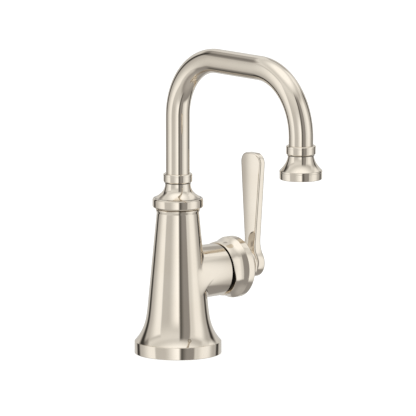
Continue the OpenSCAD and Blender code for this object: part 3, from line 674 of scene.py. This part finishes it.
def lever_half():
    """Right half of the lever's outline as (width, height, direction outwards), from foot to tip."""
    slope = (WIDE - WAIST) / (LEVER_TOP - CORNER - WAIST_Z)
    u = 1 / math.sqrt(1 + slope * slope)
    fillet = WAIST_FILLET
    start = Vector((WAIST + u * fillet, WAIST_Z - u * slope * fillet - FOOT_Z))
    along = Vector((u * slope, u))
    b = start.dot(along)
    centre = start + along * (-b + math.sqrt(b * b - start.dot(start) + (FOOT_R + fillet) ** 2))
    foot_end = math.atan2(centre.y, centre.x)
    waist_end = math.pi - math.atan(slope)
    points = []
    for i in range(33):
        a = -math.pi / 2 + (foot_end + math.pi / 2) * i / 32
        points.append((FOOT_R * math.cos(a), FOOT_Z + FOOT_R * math.sin(a), a))
    for i in range(1, 21):
        a = foot_end + math.pi + (waist_end - foot_end - math.pi) * i / 20
        y = centre.x + fillet * math.cos(a)
        z = centre.y + FOOT_Z + fillet * math.sin(a)
        points.append((y, z, a - math.pi))
    y0, z0 = points[-1][:2]
    corner_y, corner_z = WIDE - CORNER, LEVER_TOP - CORNER
    for i in range(1, 24):
        t = i / 24
        points.append((y0 + (WIDE - y0) * t, z0 + (corner_z - z0) * t, -math.atan(slope)))
    for i in range(25):
        a = math.pi / 2 * i / 24
        points.append((corner_y + CORNER * math.cos(a), corner_z + CORNER * math.sin(a), a))
    return points


def lever_back_x(y, z):
    """The lever's inner face: a soft ridge, which swells towards the boss near the handle's axis."""
    left = max(0.0, SWELL_FROM - math.hypot(y, z))
    ridge = RIDGE_X + RIDGE_SLOPE * RIDGE_SOFT * math.log(math.cosh((RIDGE_Y - y) / RIDGE_SOFT))
    return max(HANDLE_BEAD_X + HANDLE_BEAD_W + PLAY, ridge - SWELL * (left / SWELL_SPAN) ** 2)


def lever_blade():
    """Lever with rounded edges: loops round its outline, closed by a grid on each side."""
    half = lever_half()
    cols, edge_steps = 24, 6
    count = 2 * len(half) + cols - 1
    verts, faces, loops = [], [], []
    edge = [math.pi / 2 * k / edge_steps for k in range(edge_steps + 1)]
    for outer, angles in ((False, edge), (True, edge[::-1])):
        for w in angles:
            inset, proud = LEVER_EDGE * (1 - math.sin(w)), LEVER_EDGE * (1 - math.cos(w))
            right = [(max(0.0, y - inset * math.cos(a)), z - inset * math.sin(a)) for y, z, a in half]
            tip = [(right[-1][0] * (1 - 2 * k / cols), right[-1][1]) for k in range(1, cols)]
            loops.append((len(verts), right, outer))
            for y, z in right + tip + [(-y, z) for y, z in right[::-1]]:
                x = LEVER_X1 - proud if outer else lever_back_x(y, z) + proud
                verts.append((x, y, HANDLE_Z + z))
    for (a, _, _), (b, _, _) in zip(loops, loops[1:]):
        faces += [(a + j, b + j, b + (j + 1) % count, a + (j + 1) % count) for j in range(count)]
    for first, right, outer in (loops[0], loops[-1]):
        grid = []
        for i, (y, z) in enumerate(right[:-1]):
            row = [first + i]
            for k in range(1, cols):
                across = y * (1 - 2 * k / cols)
                row.append(len(verts))
                verts.append((LEVER_X1 if outer else lever_back_x(across, z), across, HANDLE_Z + z))
            grid.append(row + [first + count - 1 - i])
        grid.append([first + len(half) - 1 + k for k in range(cols + 1)])
        for low, high in zip(grid, grid[1:]):
            faces += [(low[k], low[k + 1], high[k + 1], high[k]) for k in range(cols)]
    Solids().add(verts, faces).piece("lever_blade", "handle", "lever", nickel, sharp=50)


def cap_of_lever():
    """Low domed cap in the lever's foot, over its screw."""
    outline = rounded([
        (LEVER_X1 - 1.4, 0.01),
        (LEVER_X1 - 1.4, 4.5, 0.1),
        (LEVER_X1 + 0.1, 4.5, 0.3),
        (LEVER_X1 + 0.35, 3.0, 3.0),
        (LEVER_X1 + 0.45, 0.01),
    ], 6)
    Solids().turned_x(outline).piece("cap_of_lever", "handle", "lever_cap", nickel)


def thread(z0, z1, crest, root, pitch, cols=128):
    """Solid sleeve with a helical thread outside, between two heights."""
    turn_points = [(0.0, root), (0.38, crest), (0.5, crest), (0.88, root)]
    count = int((z1 - z0) / pitch + 4) * 4
    verts = []
    for j in range(cols):
        for k in range(count):
            part, r = turn_points[k % 4]
            z = z0 + pitch * (k // 4 - 2 + part + j / cols)
            if z <= z0 or z >= z1:
                r = root
            z = min(max(z, z0), z1)
            a = 2 * math.pi * j / cols
            verts.append((r * math.cos(a), r * math.sin(a), z))
    faces = []
    for j in range(cols):
        shift = 4 if j == cols - 1 else 0
        a, b = j * count, (j + 1) % cols * count + shift
        faces += [(a + k, b + k, b + k + 1, a + k + 1) for k in range(count - 1 - shift)]
    inner = len(verts)
    for z in (z0, z1):
        verts += [((root - 0.4) * math.cos(a), (root - 0.4) * math.sin(a), z) for a in turns(cols)]
    for j in range(cols):
        k = (j + 1) % cols
        low_a, low_b, high_a, high_b = inner + j, inner + k, inner + cols + j, inner + cols + k
        faces += [(low_a, low_b, high_b, high_a), (j * count, k * count, low_b, low_a),
                  (j * count + count - 1, high_a, high_b, k * count + count - 1)]
    return verts, faces


def threaded_shank():
    """Hollow shank: smooth through the deck, with a thread for the nut below it."""
    core = THREAD_ROOT - 0.1
    thread_top = -DECK_T - 1.2
    outline = [
        (SHANK_BORE, SHANK_END),
        (core - 0.6, SHANK_END),
        (core, SHANK_END + 0.8),
        (core, thread_top),
        (REGISTER_R - 0.4, -DECK_T),
        (REGISTER_R, -DECK_T + 0.4),
        (REGISTER_R, 0.0),
        (THREAD_R, 0.0),
        (THREAD_R, SHANK_TOP),
        (SHANK_BORE, SHANK_TOP),
    ]
    solids = Solids().turned(outline)
    solids.add(*thread(SHANK_END + 0.5, thread_top, THREAD_R, THREAD_ROOT, THREAD_PITCH))
    solids.piece("threaded_shank", "faucet_body", "mounting_shank", brass, slot="brass", sharp=30)


# Camera at the photograph's angle: its distance and target in metres, its lens in millimetres
CAMERA_AZIMUTH = math.radians(-40.126)
CAMERA_ELEVATION = math.radians(9.386)
CAMERA_DISTANCE = 3.8701
CAMERA_TARGET = Vector((0.01577, -0.01329, 0.10048))
CAMERA_LENS = 489.35

# Brightness of the ground, from below to its edge, and the steps by which the light gets brighter or darker
# above it. Each goes from an elevation to an elevation, in degrees.
GROUND = (-78, -48, 0.486, 0.33)
SKY_STEPS = [(-42, -35, 0.31), (4, 40, 0.23), (43, 51, -0.08), (52, 76, 0.47)]

# Soft boxes and flags of the studio, as windows on the sky. Each has its left and right edge as an azimuth
# from the camera's side of the object, growing to the right, its bottom and top as an elevation, how soft its
# left, right, bottom and top edges are, all in degrees, and its brightness.
WINDOWS = [
    (-96, 5, -51, -20, 6, 2, 8, 3, 0.70),
    (-120, -62.5, -36, 36, 5, 3.5, 4, 6, 0.58),
    (-95, -62.5, -35, 32, 20, 3.5, 6, 4, 1.12),
    (-18, 4.5, -33, 16, 20, 4, 8, 13, 1.27),
    (6, 45, -58, 52, 3.5, 3.5, 5, 8, 0.33),
    (8.5, 17, -56, 49, 2.5, 9, 4, 6, 0.09),
    (60, 122, -39, 36, 5, 3.5, 4, 6, 0.53),
    (45.5, 100, -39, 38, 3.5, 11, 5, 7, 0.82),
    (61, 92, -38, 38, 9, 10, 6, 7, 1.09),
    (-158, -110, 29, 42, 6, 5, 4, 6, 0.29),
    (-160, -108, -50, -31, 6, 5, 6, 4, 0.31),
    (-138.5, -121.5, -41, 39, 5.5, 6, 5, 7, 0.05),
    (121.5, 137.5, -41, 26, 4.5, 7, 5, 5, 0.05),
    (43, 92, 42, 53, 2, 6, 4, 7, 0.62),
    (116, 150, 33, 54, 3, 4, 5, 3, 1.05),
    (152, 178, 24, 42, 5, 2, 5, 5, 0.45),
]

# Tints of the light by its brightness, as a share of the brightest. Dim light is warmer than bright light.
# The tints' own level is divided out of the light's strength.
BRIGHTEST = 1.3
TINT_LEVEL = 0.8
TINTS = [
    (0.09, (0.829, 0.797, 0.746)),
    (0.25, (0.822, 0.796, 0.773)),
    (0.6, (0.801, 0.801, 0.785)),
    (0.95, (0.798, 0.802, 0.798)),
]


def studio():
    """World with the sky and its windows, which the metal mirrors. The camera sees plain white."""
    world = bpy.data.worlds.new("studio")
    bpy.context.scene.world = world
    graph = Graph(world)
    nodes = world.node_tree.nodes
    nodes.clear()
    direction = graph.add("ShaderNodeTexCoord").outputs["Generated"]
    axes = graph.add("ShaderNodeSeparateXYZ", Vector=direction).outputs
    sin_az, cos_az = math.sin(CAMERA_AZIMUTH), math.cos(CAMERA_AZIMUTH)
    toward = graph.plus(graph.times(axes[0], sin_az), graph.times(axes[1], -cos_az))
    sideways = graph.plus(graph.times(axes[0], cos_az), graph.times(axes[1], sin_az))
    azimuth = graph.calc("DEGREES", graph.calc("ARCTAN2", sideways, toward))
    elevation = graph.calc("DEGREES", graph.calc("ARCSINE", axes[2]))
    light = graph.step(elevation, *GROUND)
    for low, high, more in SKY_STEPS:
        light = graph.plus(light, graph.step(elevation, low, high, 0, more))
    for left, right, low, high, soft_l, soft_r, soft_b, soft_t, level in WINDOWS:
        inside = graph.step(azimuth, left - soft_l, left + soft_l)
        inside = graph.times(inside, graph.step(azimuth, right - soft_r, right + soft_r, 1, 0))
        inside = graph.times(inside, graph.step(elevation, low - soft_b, low + soft_b))
        inside = graph.times(inside, graph.step(elevation, high - soft_t, high + soft_t, 1, 0))
        light = graph.plus(light, graph.times(graph.calc("SUBTRACT", level, light), inside))
    tint = graph.add("ShaderNodeValToRGB", Fac=graph.calc("DIVIDE", light, BRIGHTEST))
    stops = tint.color_ramp.elements
    for share, _ in TINTS[1:-1]:
        stops.new(share)
    for stop, (share, colour) in zip(stops, TINTS):
        stop.position = share
        stop.color = (*colour, 1)
    strength = graph.calc("DIVIDE", light, TINT_LEVEL)
    room = graph.add("ShaderNodeBackground", Color=tint.outputs[0], Strength=strength)
    white = graph.add("ShaderNodeBackground", Color=(1, 1, 1, 1), Strength=1.0)
    seen = graph.add("ShaderNodeLightPath").outputs["Is Camera Ray"]
    both = graph.add("ShaderNodeMixShader", Fac=seen)
    graph.put(both.inputs[1], room.outputs[0])
    graph.put(both.inputs[2], white.outputs[0])
    graph.add("ShaderNodeOutputWorld", Surface=both.outputs[0])


def deck():
    """Plain white floor just under the foot, lit a little from within so that it shows as white."""
    half, z = 3.0, -0.02 * MM
    corners = [(-half, -half, z), (half, -half, z), (half, half, z), (-half, half, z)]
    mesh = bpy.data.meshes.new("deck")
    mesh.from_pydata(corners, [], [(0, 1, 2, 3)])
    floor = bpy.data.objects.new("deck", mesh)
    bpy.context.scene.collection.objects.link(floor)
    floor.visible_glossy = False
    material = bpy.data.materials.new("deck_white")
    shader = Graph(material).tree.nodes["Principled BSDF"]
    shader.inputs["Base Color"].default_value = (0.5, 0.5, 0.5, 1)
    shader.inputs["Roughness"].default_value = 0.9
    shader.inputs["Emission Color"].default_value = (1, 1, 1, 1)
    shader.inputs["Emission Strength"].default_value = 0.72
    mesh.materials.append(material)


def camera():
    """Camera that looks at its target from the photograph's angle."""
    data = bpy.data.cameras.new("camera")
    eye = bpy.data.objects.new("camera", data)
    bpy.context.scene.collection.objects.link(eye)
    flat = math.cos(CAMERA_ELEVATION)
    x, y = math.sin(CAMERA_AZIMUTH) * flat, -math.cos(CAMERA_AZIMUTH) * flat
    back = Vector((x, y, math.sin(CAMERA_ELEVATION)))
    eye.location = CAMERA_TARGET + back * CAMERA_DISTANCE
    eye.rotation_mode = "QUATERNION"
    eye.rotation_quaternion = back.to_track_quat("Z", "Y")
    data.sensor_width = 36
    data.lens = CAMERA_LENS
    data.clip_start = 0.1
    data.clip_end = 50
    bpy.context.scene.camera = eye


dress_nodes()
body_casting()
bonnet_in_slit()
spout_collar()
bead("bead_on_spout", "spout_bead", SPOUT_BEAD_Z, (0, 0))
bead("bead_at_outlet", "outlet_bead", OUTLET_BEAD_Z, (0, -REACH))
# Thin dark rings as painted shadow in the gaps under the beads and at the foot of the collar's trumpet.
painted_shadow_ring("painted_shadow_ring_under_bead", "spout_bead", PAINTED_SHADOW_R, SPOUT_BEAD_Z - PAINTED_SHADOW_DROP, PAINTED_SHADOW_H)
painted_shadow_ring("painted_shadow_ring_over_outlet", "outlet_bead", PAINTED_SHADOW_R, OUTLET_BEAD_Z - PAINTED_SHADOW_DROP, PAINTED_SHADOW_H, (0, -REACH))
painted_shadow_ring("painted_shadow_ring_on_collar", "spout_bonnet", TRUMPET_R - 0.03, COLLAR_TOP - 0.1, 0.25)
outlet_cup()
gooseneck()
handle_hub()
ring_behind_lever()
lever_blade()
cap_of_lever()
threaded_shank()
studio()
deck()
camera()
bpy.context.scene.view_settings.view_transform = "Standard"
